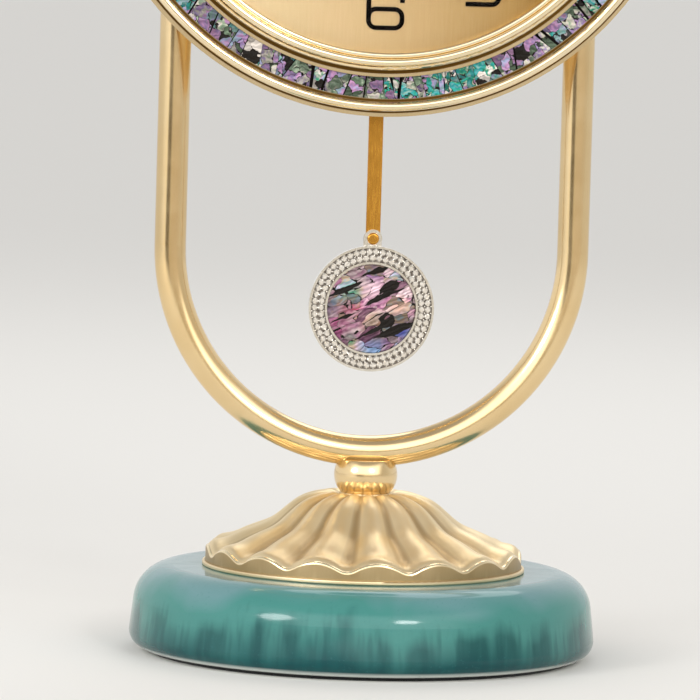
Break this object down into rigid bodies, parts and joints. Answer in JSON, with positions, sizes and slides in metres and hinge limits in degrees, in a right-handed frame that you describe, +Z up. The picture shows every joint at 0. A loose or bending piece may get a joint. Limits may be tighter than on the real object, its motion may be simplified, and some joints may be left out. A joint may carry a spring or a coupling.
{
  "type": "desk pendulum clock",
  "caption": "Desk clock with a round shell-inlaid case on a U-shaped gold tube, a swinging jewelled pendulum, a fluted dome and a glazed teal base.",
  "frame": {"origin": "centre of the underside of the base, on the table", "axes": "+Z up, the dial faces -Y, +X to the right of a person facing the dial"},
  "size_m": [0.1916, 0.1486, 0.3639],
  "materials": {
    "gold": "polished pale gold plating",
    "satin_gold": "satin pale gold plating",
    "dial_gold": "satin champagne gold",
    "rod_brass": "polished orange brass",
    "bob_silver": "bright silver plating",
    "crystal": "clear faceted crystal",
    "shell": "abalone shell under clear lacquer",
    "glaze": "glossy teal glaze",
    "felt": "black felt",
    "glass": "clear flat glass",
    "black_paint": "black gloss paint",
    "steel": "zinc plated",
    "zinc": "as cast",
    "brass": "turned brass",
    "black_plastic": "fine textured",
    "white_plastic": "moulded",
    "rubber": "matte",
    "copper_wire": "enamelled copper winding",
    "board": "solder resist",
    "cell_wrap": "plain printed sleeve, no lettering"
  },
  "bodies": {
    "clock_body": {"back_plate": "satin_gold", "back_screws": "steel", "base_pad": "felt", "bezel": "gold", "bezel_screws": "steel", "case_front": "satin_gold", "case_shell": "satin_gold", "cell": "cell_wrap", "cell_contacts": "steel", "ceramic_base": "glaze", "circuit_board": "board", "dial": "dial_gold", "dial_glass": "glass", "dial_washer": "brass", "drive_coil": "copper_wire", "fluted_dome": "satin_gold", "front_housing": "black_plastic", "glass_bezel": "gold", "glass_spacer": "gold", "hanger_clip": "steel", "hex_nut": "brass", "leg_blocks": "zinc", "leg_plugs": "steel", "leg_screws": "steel", "motor_coil": "copper_wire", "neck_bead": "gold", "numerals": "black_paint", "rear_housing": "black_plastic", "rubber_washer": "rubber", "shell_ring": "shell", "stand_bolt": "steel", "stand_washer": "steel", "stator": "steel", "u_frame": "gold"},
    "minute_hand_body": {"minute_hand": "black_paint", "centre_wheel": "white_plastic"},
    "hour_hand_body": {"hour_hand": "black_paint", "hour_wheel": "white_plastic"},
    "second_hand_body": {"second_hand": "black_paint", "second_arbor": "brass"},
    "minute_wheel_body": {"minute_wheel": "white_plastic"},
    "third_wheel_body": {"third_wheel": "white_plastic"},
    "intermediate_body": {"intermediate_wheel": "white_plastic"},
    "rotor_body": {"rotor": "steel"},
    "knob_body": {"setting_knob": "black_plastic"},
    "pendulum_body": {"hanger": "white_plastic", "hanger_magnet": "steel", "pendulum_rod": "rod_brass", "rod_rivet": "rod_brass", "bob_back": "bob_silver", "bob_rim": "bob_silver", "bob_crystals": "crystal", "bob_inlay": "shell"}
  },
  "joints": [
    {"name": "minute_hand_turn", "type": "hinge", "parent": "clock_body", "child": "minute_hand_body", "pos_m": [0, 0, 0.26812], "axis": [0, 1, 0], "continuous": true},
    {"name": "hour_hand_turn", "type": "hinge", "parent": "clock_body", "child": "hour_hand_body", "pos_m": [0, 0, 0.26812], "axis": [0, 1, 0], "continuous": true},
    {"name": "second_hand_turn", "type": "hinge", "parent": "clock_body", "child": "second_hand_body", "pos_m": [0, 0, 0.26812], "axis": [0, 1, 0], "continuous": true},
    {"name": "minute_wheel_turn", "type": "hinge", "parent": "clock_body", "child": "minute_wheel_body", "pos_m": [-0.00866, 0, 0.26312], "axis": [0, 1, 0], "continuous": true},
    {"name": "third_wheel_turn", "type": "hinge", "parent": "clock_body", "child": "third_wheel_body", "pos_m": [0, 0, 0.27892], "axis": [0, 1, 0], "continuous": true},
    {"name": "intermediate_turn", "type": "hinge", "parent": "clock_body", "child": "intermediate_body", "pos_m": [0.0097, 0, 0.26252], "axis": [0, 1, 0], "continuous": true},
    {"name": "rotor_turn", "type": "hinge", "parent": "clock_body", "child": "rotor_body", "pos_m": [0.01354, 0, 0.25587], "axis": [0, 1, 0], "continuous": true},
    {"name": "setting_knob_turn", "type": "hinge", "parent": "clock_body", "child": "knob_body", "pos_m": [-0.01732, 0, 0.25812], "axis": [0, 1, 0], "continuous": true},
    {"name": "pendulum_swing", "type": "hinge", "parent": "clock_body", "child": "pendulum_body", "pos_m": [0, 0, 0.25612], "axis": [0, 1, 0], "range_deg": [-8, 8]}
  ],
  "couplings": [
    {"joint": "hour_hand_turn", "follows": "minute_hand_turn", "ratio": 0.083333},
    {"joint": "minute_wheel_turn", "follows": "minute_hand_turn", "ratio": -0.33333},
    {"joint": "setting_knob_turn", "follows": "minute_hand_turn", "ratio": 1},
    {"joint": "third_wheel_turn", "follows": "minute_hand_turn", "ratio": -8},
    {"joint": "second_hand_turn", "follows": "minute_hand_turn", "ratio": 60},
    {"joint": "intermediate_turn", "follows": "minute_hand_turn", "ratio": -360},
    {"joint": "rotor_turn", "follows": "minute_hand_turn", "ratio": 1800}
  ]
}
